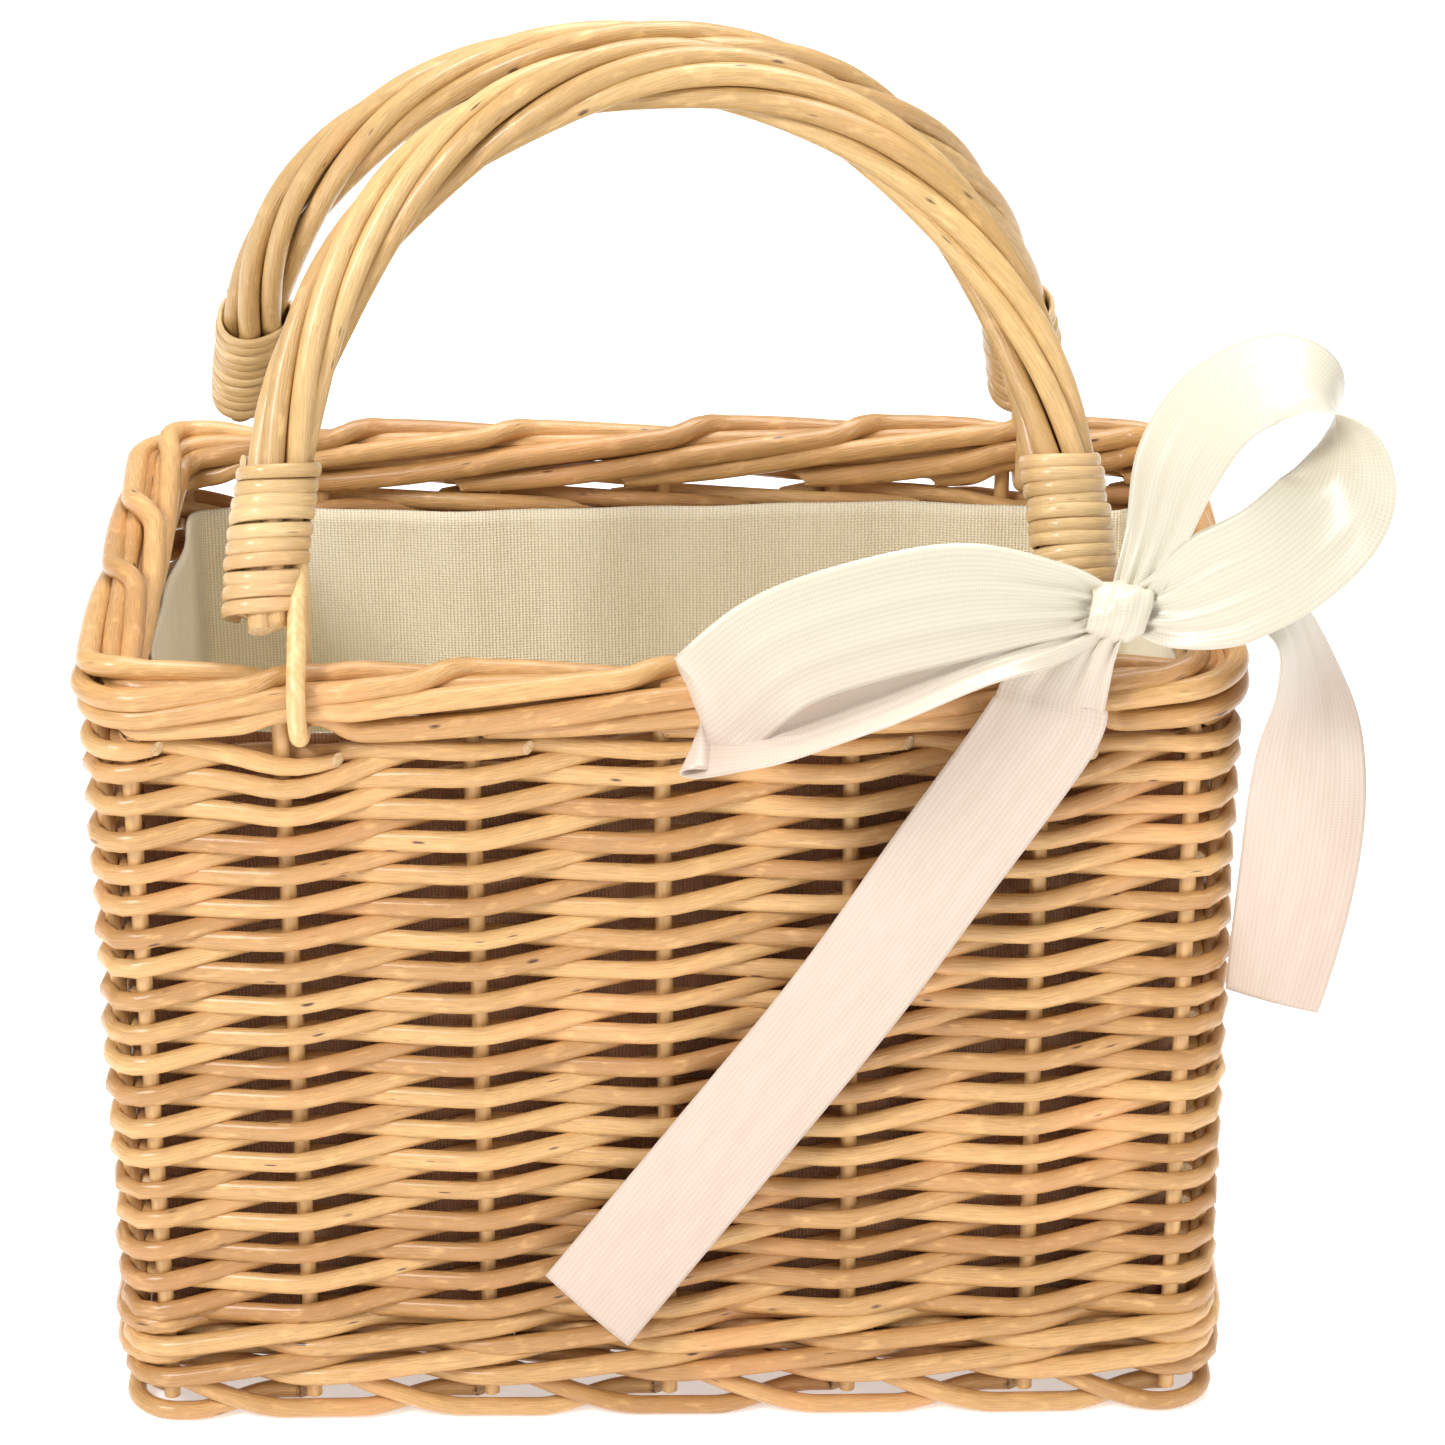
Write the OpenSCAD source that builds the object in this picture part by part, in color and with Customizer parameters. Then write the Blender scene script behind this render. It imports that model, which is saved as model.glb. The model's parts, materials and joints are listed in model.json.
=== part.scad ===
// Flower girl basket: a rectangular willow basket with a cotton liner, two swinging
// twisted-rod handles and a satin ribbon bow tied to the front handle.
// Millimetres. +X right, -Y front, +Z up. The origin is the middle of the underside.

/* [Basket] */
// Width over the top border
basket_w = 250; // [200:1:320]
// Depth over the top border
basket_d = 145; // [120:1:180]
// Height to the top of the border
basket_h = 186; // [150:1:225]
// Thickness of the woven walls
wall_t = 9; // [7:0.5:12]
// How far the border stands out past the walls
border_proud = 2; // [0:0.5:4]
// Radius of the walls' outer corners
corner_r = 10; // [8:0.5:16]

/* [Borders] */
// Diameter of the top border's bundle
border_t = 13; // [10:0.5:15]
// Radius of the top border's corners, at the bundle's middle
border_corner_r = 10; // [9:0.5:16]
// Height of the foot border
foot_h = 10; // [6:0.5:14]
// Height of the waling band above the foot
waling_h = 16; // [8:0.5:20]
// How far the waling band stands out past the walls
waling_proud = 1; // [0:0.5:2]

/* [Stakes] */
// Diameter of the upright stakes
stake_d = 3.6; // [3:0.1:4.5]
// Spacing of the stakes in the front and back walls
stake_pitch = 40; // [30:1:45]
// Spacing of the stakes in the end walls
end_stake_pitch = 38; // [26:1:46]
// Distance from an outer corner to its corner posts
post_inset = 11; // [11:0.5:14]

/* [Base and liner] */
// Thickness of the woven base
base_t = 6; // [5:0.5:9]
// Number of sticks that run through the base
base_sticks_n = 5; // [3:1:7]
// Diameter of the base sticks
base_stick_d = 3.8; // [3:0.1:4.5]
// Thickness of the cotton liner
liner_t = 1.2; // [0.8:0.1:2]

/* [Handles] */
// Diameter of a handle's twisted bundle
handle_t = 14; // [12:0.5:16]
// Height of a handle's middle line over its hinge line
handle_h = 130; // [115:1:160]
// Height over the hinge line at which the arch starts to curve
arch_spring = 33; // [26:1:45]
// Half the span of the front handle, between its legs' middles
front_reach = 82; // [72:0.5:95]
// Half the span of the back handle
back_reach = 86.5; // [72:0.5:95]
// Sideways place of the front handle
front_handle_x = 2; // [-6:0.5:6]
// Sideways place of the back handle
back_handle_x = -5.5; // [-8:0.5:6]
// Height over the hinge line of the bindings' lower ends
binding_foot = 21; // [20:0.5:26]
// Length of the bindings
binding_len = 29; // [24:1:40]
// Thickness of the bindings' windings
binding_t = 2; // [1:0.5:3]
// Diameter of the rod in the hinge loops
loop_rod_d = 4; // [3:0.1:4.5]
// Gap between a hinge loop and the border
loop_gap = 0.5; // [0.3:0.1:1]
// Height over the hinge line at which a loop's two arms meet
loop_peak = 31; // [28:0.5:32]

/* [Ribbon] */
// Width of the ribbon
ribbon_w = 25; // [15:1:30]
// Thickness of the ribbon's solids
ribbon_t = 0.8; // [0.6:0.1:1.5]
// Length of the left loop of the bow
left_loop_len = 86; // [60:1:95]
// Length of the right loop of the bow
right_loop_len = 62; // [45:1:75]
// Length of the left tail
left_tail_len = 186; // [100:1:195]
// Length of the right tail
right_tail_len = 88; // [60:1:120]

/* [Hidden] */
$fn = 64;

fit_gap = 0.1;                              // clearance of a stake in the weave
touch_gap = 0.4;                            // gap between the leaning handles
liner_gap = 0.4;                            // gap between the liner and the walls
binding_gap = 0.3;                          // gap between a binding and its leg
slack = 1;                                  // how far a cutting tool runs past a face

border_r = border_t / 2;
loop_r = loop_rod_d / 2;
ring_r = border_r + loop_gap + loop_r;      // middle radius of a hinge loop
border_z = basket_h - border_r;             // height of the hinge lines
hinge_y = basket_d / 2 - border_r;          // distance of the hinge lines from the middle
gap_h = loop_rod_d + 2 * loop_gap + 1.5;    // open gap under the top border
weave_top = basket_h - border_t - gap_h;
weave_bottom = foot_h + waling_h;
wall_w = basket_w - 2 * border_proud;
wall_d = basket_d - 2 * border_proud;
inner_w = wall_w - 2 * wall_t;
inner_d = wall_d - 2 * wall_t;
inner_r = max(corner_r - wall_t, 0.8);
wall_x = wall_w / 2 - wall_t / 2;           // middle plane of an end wall
wall_y = wall_d / 2 - wall_t / 2;           // middle plane of the front or back wall
stake_bottom = foot_h / 2;
stake_top = basket_h - border_t + 4;        // the stakes run up into the border
post_x = wall_w / 2 - post_inset;
post_y = wall_d / 2 - post_inset;
front_stake_x = [for (i = [-2 : 2]) i * stake_pitch];
end_stake_y = [for (i = [-1, 1]) i * end_stake_pitch / 2];
base_z = foot_h + base_t / 2;
liner_bottom = foot_h + base_t + liner_gap;
liner_top = weave_top + 2;
handle_r = handle_t / 2;
lean = asin((hinge_y - handle_r - touch_gap / 2) / handle_h);   // the handles lean on each other
loop_half = asin(ring_r / loop_peak);       // half the angle between a loop's arms
arm_len = sqrt(loop_peak * loop_peak - ring_r * ring_r);
loop_to_stake = stake_d / 2 + loop_r + 0.6; // a hinge loop passes this far beside a stake
loop_posts = concat(front_stake_x, [-post_x, post_x]);
function nearest(x, places) = let (least = min([for (p = places) abs(x - p)]))
    [for (p = places) if (abs(x - p) == least) p][0];
// A hinge loop stands at its leg, unless a stake is in the way: then it stands just beside the stake
function beside_stake(x) = let (stake = nearest(x, loop_posts), off = x - stake)
    abs(off) >= loop_to_stake ? x : stake + (off < 0 ? -loop_to_stake : loop_to_stake);
function loop_places(middle, reach) = [for (s = [-1, 1]) beside_stake(middle + s * reach)];
front_loop_x = loop_places(front_handle_x, front_reach);
back_loop_x = loop_places(back_handle_x, back_reach);
knot_r = 5.5;
knot_len = 19;
knot_gap = 0.4;                             // gap between the knot and the binding over it
knot_side = knot_r + loop_r + 0.5;          // the knot lies this far beside its hinge loop
knot_x = front_loop_x[1] + knot_side;
knot_up = binding_foot - knot_r - knot_gap; // height of the knot over the hinge line
bow_clear = 3;                              // the bow hangs this far in front of the hinge loops
bow_up = 15;                                // and this far over the hinge line
bow_y = -hinge_y - ring_r - loop_r - bow_clear;
bow_z = border_z + bow_up;
left_loop_half = 8;                         // half the height of the left loop's teardrop
right_loop_half = 13.5;                     // and of the right loop's
left_loop_dip = 12;                         // angles at which the loops and tails leave the knot
left_loop_turn = 188;
right_loop_rise = 34;
right_loop_turn = 6;
right_loop_roll = 48;
left_tail_slant = 31;
left_tail_lean = 2;
right_tail_slant = 2;
right_tail_turn = 12;

willow = [0.86, 0.66, 0.38];
pale_willow = [0.87, 0.76, 0.50];
cotton = [0.93, 0.90, 0.82];
satin = [0.96, 0.93, 0.84];

// ---------------------------------------------------------------- outlines and helpers

module rounded(w, d, r) {
    square([w - 2 * r, d], center = true);
    square([w, d - 2 * r], center = true);
    for (x = [-1, 1], y = [-1, 1])
        translate([x * (w / 2 - r), y * (d / 2 - r)]) circle(r);
}

// A ring between two rounded rectangles, the inner one t inside the outer
module ring(w, d, r, t) {
    difference() {
        rounded(w, d, r);
        rounded(w - 2 * t, d - 2 * t, max(r - t, 0.8));
    }
}

module wall_outline() {
    difference() {
        rounded(wall_w, wall_d, corner_r);
        rounded(inner_w, inner_d, inner_r);
    }
}

module uprights(places, d, low, high) {
    for (p = places)
        translate([p[0], p[1], low]) cylinder(d = d, h = high - low);
}

front_places = [for (x = front_stake_x) [x, -wall_y]];
back_places = [for (x = front_stake_x) [x, wall_y]];
left_places = [for (y = end_stake_y) [-wall_x, y]];
right_places = [for (y = end_stake_y) [wall_x, y]];
post_places = [for (x = [-1, 1], y = [-1, 1], k = [0, 1])
    k == 0 ? [x * post_x, y * wall_y] : [x * wall_x, y * post_y]];
all_places = concat(front_places, back_places, left_places, right_places, post_places);

module stake_bores() {
    uprights(all_places, stake_d + 2 * fit_gap, stake_bottom - fit_gap, stake_top + fit_gap);
}

// One side of the woven wall: the part of the ring that lies in the given rectangle
module weave_panel(corner, extent) {
    color(willow) difference() {
        translate([0, 0, weave_bottom]) linear_extrude(weave_top - weave_bottom)
            intersection() {
                wall_outline();
                translate(corner) square(extent);
            }
        stake_bores();
    }
}

// ---------------------------------------------------------------- the basket

module foot_border() {
    color(willow) difference() {
        linear_extrude(foot_h) ring(wall_w, wall_d, corner_r, wall_t);
        stake_bores();
    }
}

module waling_band() {
    w = wall_w + 2 * waling_proud;
    d = wall_d + 2 * waling_proud;
    color(willow) difference() {
        translate([0, 0, foot_h]) linear_extrude(waling_h)
            ring(w, d, corner_r + waling_proud, wall_t + waling_proud);
        stake_bores();
    }
}

base_stick_y = [for (i = [0 : base_sticks_n - 1])
    (i - (base_sticks_n - 1) / 2) * inner_d / (base_sticks_n + 0.5)];

module base_rods(d, past) {
    for (y = base_stick_y)
        translate([-inner_w / 2 - past, y, base_z]) rotate([0, 90, 0])
            cylinder(d = d, h = inner_w + 2 * past);
}

module base_weave() {
    color(willow) difference() {
        translate([0, 0, foot_h]) linear_extrude(base_t) rounded(inner_w, inner_d, inner_r);
        base_rods(base_stick_d + 2 * fit_gap, slack);
    }
}

module base_sticks() {
    color(willow) base_rods(base_stick_d, 0);
}

module front_weave() weave_panel([-wall_w / 2, -wall_d / 2], [wall_w, wall_t]);
module back_weave() weave_panel([-wall_w / 2, inner_d / 2], [wall_w, wall_t]);
module left_weave() weave_panel([-wall_w / 2, -inner_d / 2], [wall_t, inner_d]);
module right_weave() weave_panel([inner_w / 2, -inner_d / 2], [wall_t, inner_d]);

module stakes(places) {
    color(willow) uprights(places, stake_d, stake_bottom, stake_top);
}

module front_stakes() stakes(front_places);
module back_stakes() stakes(back_places);
module left_stakes() stakes(left_places);
module right_stakes() stakes(right_places);
module corner_posts() stakes(post_places);

// The border's middle line is a rounded rectangle through the hinge lines
module top_border() {
    half_w = basket_w / 2 - border_r;
    run_x = half_w - border_corner_r;
    run_y = hinge_y - border_corner_r;
    color(willow) difference() {
        translate([0, 0, border_z]) union() {
            for (s = [-1, 1]) {
                translate([-run_x, s * hinge_y, 0]) rotate([0, 90, 0])
                    cylinder(r = border_r, h = 2 * run_x);
                translate([s * half_w, run_y, 0]) rotate([90, 0, 0])
                    cylinder(r = border_r, h = 2 * run_y);
            }
            for (q = [0 : 3])
                translate([(q == 0 || q == 3 ? 1 : -1) * run_x, (q < 2 ? 1 : -1) * run_y, 0])
                    rotate([0, 0, 90 * q]) rotate_extrude(angle = 90)
                        translate([border_corner_r, 0]) circle(border_r);
        }
        stake_bores();
    }
}

// An open cotton box, held just inside the walls
module liner() {
    w = inner_w - 2 * liner_gap;
    d = inner_d - 2 * liner_gap;
    color(cotton) difference() {
        translate([0, 0, liner_bottom]) linear_extrude(liner_top - liner_bottom)
            rounded(w, d, inner_r + 2);
        translate([0, 0, liner_bottom + liner_t]) linear_extrude(liner_top)
            rounded(w - 2 * liner_t, d - 2 * liner_t, inner_r + 1);
    }
}

// ---------------------------------------------------------------- the handles
// A handle is drawn upright over the line y = 0, z = 0, then leant and moved to its hinge line.

module at_front() translate([0, -hinge_y, border_z]) rotate([-lean, 0, 0]) children();
module at_back() translate([0, hinge_y, border_z]) rotate([lean, 0, 0]) children();

// A handle's middle line is half an ellipse over its spring line. The bundle is swept along it.
module handle_rods(middle, reach) {
    rise = handle_h - arch_spring;
    steps = 36;
    sides = 16;
    points = [for (i = [0 : steps], k = [0 : sides - 1])
        let (a = 180 * i / steps, slope = [reach * sin(a), rise * cos(a)],
             out = [slope[1], slope[0]] / norm(slope), u = handle_r * cos(360 * k / sides))
        [middle + reach * cos(a) + out[0] * u, handle_r * sin(360 * k / sides),
         arch_spring + rise * sin(a) + out[1] * u]];
    walls = [for (i = [0 : steps - 1], k = [0 : sides - 1])
        let (n = (k + 1) % sides)
        [i * sides + k, i * sides + n, (i + 1) * sides + n, (i + 1) * sides + k]];
    ends = [[for (k = [sides - 1 : -1 : 0]) k], [for (k = [0 : sides - 1]) steps * sides + k]];
    color(pale_willow) polyhedron(points, concat(walls, ends), convexity = 4);
}

// Split willow wound round the leg and round the ends of the hinge loop. The tube leans along
// the chord of the leg, which is straight and then curves in by drift, and its bore is wide
// enough for the leg's bulge over that chord.
module binding(middle, reach, side) {
    above = binding_foot + binding_len - arch_spring;
    drift = reach * (1 - sqrt(1 - pow(above / (handle_h - arch_spring), 2)));
    straight = (arch_spring - binding_foot) / binding_len;
    bulge = drift * pow(1 + straight, 2) / 4;
    bore_r = handle_r + binding_gap + bulge;
    color(pale_willow) translate([middle + side * reach, 0, binding_foot])
        rotate([0, -side * atan(drift / binding_len), 0]) difference() {
            cylinder(r = bore_r + binding_t, h = binding_len);
            translate([0, 0, -slack]) cylinder(r = bore_r, h = binding_len + 2 * slack);
        }
}

// A peeled rod bent round the border, its two arms meeting inside the binding
module hinge_loop(x) {
    open_a = 90 - loop_half;
    color(pale_willow) translate([x, 0, 0]) rotate([90, 0, 90]) union() {
        rotate([0, 0, 90 + open_a]) rotate_extrude(angle = 360 - 2 * open_a)
            translate([ring_r, 0]) circle(loop_r);
        for (s = [-1, 1])
            rotate([0, 0, 90 + s * open_a]) translate([ring_r, 0, 0])
                rotate([90 * s, 0, 0]) cylinder(r = loop_r, h = arm_len);
    }
}

module front_handle_rods() at_front() handle_rods(front_handle_x, front_reach);
module front_left_binding() at_front() binding(front_handle_x, front_reach, -1);
module front_right_binding() at_front() binding(front_handle_x, front_reach, 1);
module front_left_hinge_loop() at_front() hinge_loop(front_loop_x[0]);
module front_right_hinge_loop() at_front() hinge_loop(front_loop_x[1]);
module back_handle_rods() at_back() handle_rods(back_handle_x, back_reach);
module back_left_binding() at_back() binding(back_handle_x, back_reach, -1);
module back_right_binding() at_back() binding(back_handle_x, back_reach, 1);
module back_left_hinge_loop() at_back() hinge_loop(back_loop_x[0]);
module back_right_hinge_loop() at_back() hinge_loop(back_loop_x[1]);

// ---------------------------------------------------------------- the ribbon bow

// A teardrop from the origin along +X, len long and about 2 * half wide at its fullest
fullness = 1.3;
function teardrop(len, half) = [for (a = [0 : 10 : 350])
    [len * (1 - cos(a)) / 2, fullness * half * sin(a) * sin(a / 2)]];

// A loop of ribbon: a closed band round a teardrop, w wide along Z. The two leaves lie together
// next to the knot, and part from there on.
module ribbon_band(len, half, w) {
    together = 8 * ribbon_t;
    translate([0, 0, -w / 2]) linear_extrude(w) difference() {
        polygon(teardrop(len, half));
        translate([together, 0]) polygon(teardrop(len - together - ribbon_t, half - ribbon_t));
    }
}

// The knot is a barrel with a small rim at the back and a rounded-off front
module ribbon_knot() {
    rim = 1;
    color(satin) at_front() translate([knot_x, 0, knot_up]) rotate([90, 0, 0])
        rotate_extrude() polygon([[0, 0], [knot_r - rim, 0], [knot_r, rim],
                                  [knot_r, knot_len - 2 * rim], [knot_r - 2 * rim, knot_len],
                                  [0, knot_len]]);
}

module ribbon_left_loop() {
    start = [-knot_r - 1, -3, 0];
    color(satin) translate([knot_x, bow_y, bow_z] + start) rotate([0, -left_loop_dip, left_loop_turn])
        ribbon_band(left_loop_len, left_loop_half, ribbon_w);
}

module ribbon_right_loop() {
    start = [knot_r + 1.5, 2, knot_r + 0.5];
    color(satin) translate([knot_x, bow_y, bow_z] + start) rotate([0, -right_loop_rise, right_loop_turn])
        rotate([right_loop_roll, 0, 0]) ribbon_band(right_loop_len, right_loop_half, ribbon_w);
}

// A tail is a flat strip that hangs down from its top end
module tail(len) {
    translate([-ribbon_w / 2, -ribbon_t / 2, -len]) cube([ribbon_w, ribbon_t, len]);
}

module ribbon_left_tail() {
    start = [-ribbon_w / 2 + 0.5, 1, 1];
    color(satin) translate([knot_x, bow_y, bow_z] + start) rotate([left_tail_lean, 0, 0])
        rotate([0, left_tail_slant, 0]) tail(left_tail_len);
}

module ribbon_right_tail() {
    start = [1.75 * ribbon_w, 3, -2];
    color(satin) translate([knot_x, bow_y, bow_z] + start)
        rotate([0, right_tail_slant, right_tail_turn]) tail(right_tail_len);
}

foot_border();
base_weave();
base_sticks();
waling_band();
front_weave();
back_weave();
left_weave();
right_weave();
front_stakes();
back_stakes();
left_stakes();
right_stakes();
corner_posts();
top_border();
liner();
front_handle_rods();
front_left_binding();
front_right_binding();
front_left_hinge_loop();
front_right_hinge_loop();
back_handle_rods();
back_left_binding();
back_right_binding();
back_left_hinge_loop();
back_right_hinge_loop();
ribbon_knot();
ribbon_left_loop();
ribbon_right_loop();
ribbon_left_tail();
ribbon_right_tail();
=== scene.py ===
# %% [markdown]
# # A willow flower girl basket
# The real thing is a rectangular basket of buff willow. Rods are woven one at a time past upright
# stakes, the stakes are laid down along the rim as a border, a cotton liner hangs inside, and two
# twisted-rod handles swing on loops round the border. A satin ribbon is tied to the front handle.
# This lesson makes every rod as a tube carried along a path, because that is how the basket is made.

# %% The frame
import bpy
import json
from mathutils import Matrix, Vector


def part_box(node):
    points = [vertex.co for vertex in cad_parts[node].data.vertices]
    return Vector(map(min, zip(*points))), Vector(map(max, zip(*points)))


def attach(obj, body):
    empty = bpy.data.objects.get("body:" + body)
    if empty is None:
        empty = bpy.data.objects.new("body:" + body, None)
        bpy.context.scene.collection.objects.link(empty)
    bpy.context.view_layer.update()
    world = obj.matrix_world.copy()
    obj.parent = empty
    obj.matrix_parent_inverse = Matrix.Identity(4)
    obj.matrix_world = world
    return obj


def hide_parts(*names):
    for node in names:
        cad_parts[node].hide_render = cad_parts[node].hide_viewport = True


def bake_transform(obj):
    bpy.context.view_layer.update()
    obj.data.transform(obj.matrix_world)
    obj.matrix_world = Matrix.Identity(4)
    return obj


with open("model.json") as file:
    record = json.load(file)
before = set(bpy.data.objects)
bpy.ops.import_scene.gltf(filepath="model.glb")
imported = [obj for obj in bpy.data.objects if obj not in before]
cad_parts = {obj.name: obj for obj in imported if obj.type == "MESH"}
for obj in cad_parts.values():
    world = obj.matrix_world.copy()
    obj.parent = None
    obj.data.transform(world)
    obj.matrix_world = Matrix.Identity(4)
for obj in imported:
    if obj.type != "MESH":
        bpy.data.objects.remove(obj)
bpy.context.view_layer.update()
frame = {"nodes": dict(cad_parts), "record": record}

import json
import math

import bpy
import numpy as np
from mathutils import Vector

MM = 0.001
rng = np.random.default_rng(7)

# %% [markdown]
# ## Camera, light and floor
# The camera stands in front of the basket and looks down at it, so that the rim shows as a ring.
# A long lens keeps the walls nearly upright. The light is a bright white surround with one large
# soft lamp above the left shoulder, which gives each rod a pale top and a darker underside.

# %% Camera
camera_data = bpy.data.cameras.new("camera")
camera_data.sensor_width = 36.0
camera_data.lens = 115.8
camera_data.clip_end = 20.0
camera = bpy.data.objects.new("camera", camera_data)
camera.location = (0.0059, -0.9423, 0.6003)
camera.rotation_euler = (math.radians(90 - 26.04), math.radians(0.3), math.radians(-0.6))
bpy.context.scene.collection.objects.link(camera)
bpy.context.scene.camera = camera
bpy.context.scene.view_settings.view_transform = "Standard"
print("camera at", [round(v, 3) for v in camera.location], "lens", camera_data.lens)

# %% Lamps, surround and floor
def soft_lamp(name, place, aim, size, watts, tint=(1.0, 1.0, 1.0)):
    """A square area lamp at place, turned to face aim."""
    data = bpy.data.lights.new(name, "AREA")
    data.size = size
    data.energy = watts
    data.color = tint
    lamp = bpy.data.objects.new(name, data)
    lamp.location = place
    lamp.rotation_euler = (Vector(aim) - Vector(place)).to_track_quat("-Z", "Y").to_euler()
    bpy.context.scene.collection.objects.link(lamp)


soft_lamp("key", (-0.75, -0.75, 1.05), (0, 0, 0.12), 0.45, 15)
soft_lamp("fill", (0.95, -0.9, 0.5), (0, 0, 0.12), 0.8, 5)
soft_lamp("top", (0.1, 0.3, 1.2), (0, 0, 0.12), 0.7, 13)

world = bpy.data.worlds.new("studio")
bpy.context.scene.world = world
world.use_nodes = True
world.node_tree.nodes["Background"].inputs[0].default_value = (1, 1, 1, 1)
world.node_tree.nodes["Background"].inputs[1].default_value = 0.42

floor_mesh = bpy.data.meshes.new("floor")
reach = 6.0
floor_mesh.from_pydata([(-reach, -reach, 0), (reach, -reach, 0), (reach, reach, 0), (-reach, reach, 0)],
                       [], [(0, 1, 2, 3)])
floor = bpy.data.objects.new("floor", floor_mesh)
bpy.context.scene.collection.objects.link(floor)

# %% [markdown]
# ## Materials
# Willow is smooth and slightly waxy, with fine lines along the rod, small dark knots where side
# shoots grew, and a colour that changes from rod to rod. Each tube carries a UV map that follows it
# (u once round, v along it in metres) and a tone number of its own, so one material serves every
# rod and no two rods match.

# %% Node helpers
def new_material(name, colour, roughness, **sockets):
    """A Principled material with constant values set on its sockets."""
    mat = bpy.data.materials.new(name)
    mat.use_nodes = True
    shader = mat.node_tree.nodes["Principled BSDF"]
    shader.inputs["Base Color"].default_value = (*colour, 1)
    shader.inputs["Roughness"].default_value = roughness
    for socket, value in sockets.items():
        shader.inputs[socket.replace("_", " ")].default_value = value
    return mat, mat.node_tree, shader


def node(tree, kind, **settings):
    made = tree.nodes.new(kind)
    for key, value in settings.items():
        setattr(made, key, value)
    return made


def ramp(tree, source, stops):
    """A colour ramp from (place, colour) stops, fed by source."""
    made = tree.nodes.new("ShaderNodeValToRGB")
    while len(made.color_ramp.elements) < len(stops):
        made.color_ramp.elements.new(0.5)
    for element, (place, colour) in zip(made.color_ramp.elements, stops):
        element.position = place
        element.color = (*colour, 1) if len(colour) == 3 else (colour[0],) * 3 + (1,)
    tree.links.new(source, made.inputs[0])
    return made.outputs[0]


def noise(tree, vector, scale, stretch=(1, 1, 1), detail=3.0, roughness=0.55):
    """Noise read at vector times stretch."""
    mapping = node(tree, "ShaderNodeMapping")
    mapping.inputs["Scale"].default_value = stretch
    tree.links.new(vector, mapping.inputs[0])
    made = node(tree, "ShaderNodeTexNoise")
    made.inputs["Scale"].default_value = scale
    made.inputs["Detail"].default_value = detail
    made.inputs["Roughness"].default_value = roughness
    tree.links.new(mapping.outputs[0], made.inputs["Vector"])
    return made.outputs["Fac"]


def mix(tree, factor, first, second, blend="MIX"):
    """Mix two colours. Each may be a socket or a colour, and the factor a socket or a number."""
    made = node(tree, "ShaderNodeMix", data_type="RGBA", blend_type=blend)
    for socket, value in ((made.inputs[0], factor), (made.inputs[6], first), (made.inputs[7], second)):
        if isinstance(value, bpy.types.NodeSocket):
            tree.links.new(value, socket)
        elif isinstance(value, (int, float)):
            socket.default_value = value
        else:
            socket.default_value = (*value, 1)
    return made.outputs[2]


def bump(tree, shader, height, strength, distance):
    made = node(tree, "ShaderNodeBump")
    made.inputs["Strength"].default_value = strength
    made.inputs["Distance"].default_value = distance
    tree.links.new(height, made.inputs["Height"])
    tree.links.new(made.outputs[0], shader.inputs["Normal"])


# %% Willow
def willow(name, pale, deep, knots=1.0, roughness=0.40):
    """Buff willow for tubes with a UV map and a tone attribute."""
    mat, tree, shader = new_material(name, pale, roughness, Coat_Weight=0.4, Coat_Roughness=0.2)
    uv = node(tree, "ShaderNodeUVMap", uv_map="UVMap").outputs[0]
    tone = node(tree, "ShaderNodeAttribute", attribute_name="tone").outputs["Fac"]
    place = node(tree, "ShaderNodeTexCoord").outputs["Object"]
    colour = mix(tree, tone, pale, deep)
    # fine lines along the rod
    lines = noise(tree, uv, 9.0, (5.0, 16.0, 1.0), 4.0)
    colour = mix(tree, ramp(tree, lines, [(0.38, (0.0,)), (0.72, (0.55,))]), colour,
                 [c * 0.66 for c in deep])
    # pink and orange patches that run over some rods
    patches = noise(tree, place, 38.0)
    blush = [min(1.0, pale[0] * 1.02), pale[1] * 0.82, pale[2] * 0.85]
    colour = mix(tree, ramp(tree, patches, [(0.52, (0.0,)), (0.72, (0.45,))]), colour, blush)
    # pale bloom
    bloom = noise(tree, uv, 5.0, (1.4, 30.0, 1.0), 2.0)
    colour = mix(tree, ramp(tree, bloom, [(0.55, (0.0,)), (0.78, (0.5,))]), colour,
                 [min(1.0, c * 1.22 + 0.03) for c in pale])
    # knots: dark specks, each in a small ring
    spots = node(tree, "ShaderNodeTexVoronoi")
    spots.inputs["Scale"].default_value = 1.0
    spread = node(tree, "ShaderNodeMapping")
    spread.inputs["Scale"].default_value = (3.0, 85.0, 1.0)
    tree.links.new(uv, spread.inputs[0])
    tree.links.new(spread.outputs[0], spots.inputs["Vector"])
    speck = ramp(tree, spots.outputs["Distance"], [(0.07, (knots,)), (0.15, (0.0,))])
    few = ramp(tree, noise(tree, uv, 16.0, (1.0, 1.0, 1.0), 1.0), [(0.52, (0.0,)), (0.56, (1.0,))])
    speck = mix(tree, 1.0, speck, few, "MULTIPLY")
    colour = mix(tree, speck, colour, (0.09, 0.03, 0.01))
    tree.links.new(colour, shader.inputs["Base Color"])
    gloss = node(tree, "ShaderNodeMapRange")
    gloss.inputs["To Min"].default_value = roughness - 0.10
    gloss.inputs["To Max"].default_value = roughness + 0.16
    tree.links.new(patches, gloss.inputs["Value"])
    tree.links.new(gloss.outputs[0], shader.inputs["Roughness"])
    bump(tree, shader, lines, 0.55, 0.0006)
    return mat


WALL_WILLOW = willow("wall_willow", (0.73, 0.44, 0.17), (0.47, 0.23, 0.07))
BORDER_WILLOW = willow("border_willow", (0.74, 0.44, 0.17), (0.49, 0.245, 0.075))
HANDLE_WILLOW = willow("handle_willow", (0.73, 0.48, 0.20), (0.52, 0.31, 0.11), 0.9, 0.36)
SPLIT_WILLOW = willow("split_willow", (0.77, 0.53, 0.25), (0.58, 0.36, 0.14), 0.5, 0.32)

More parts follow.
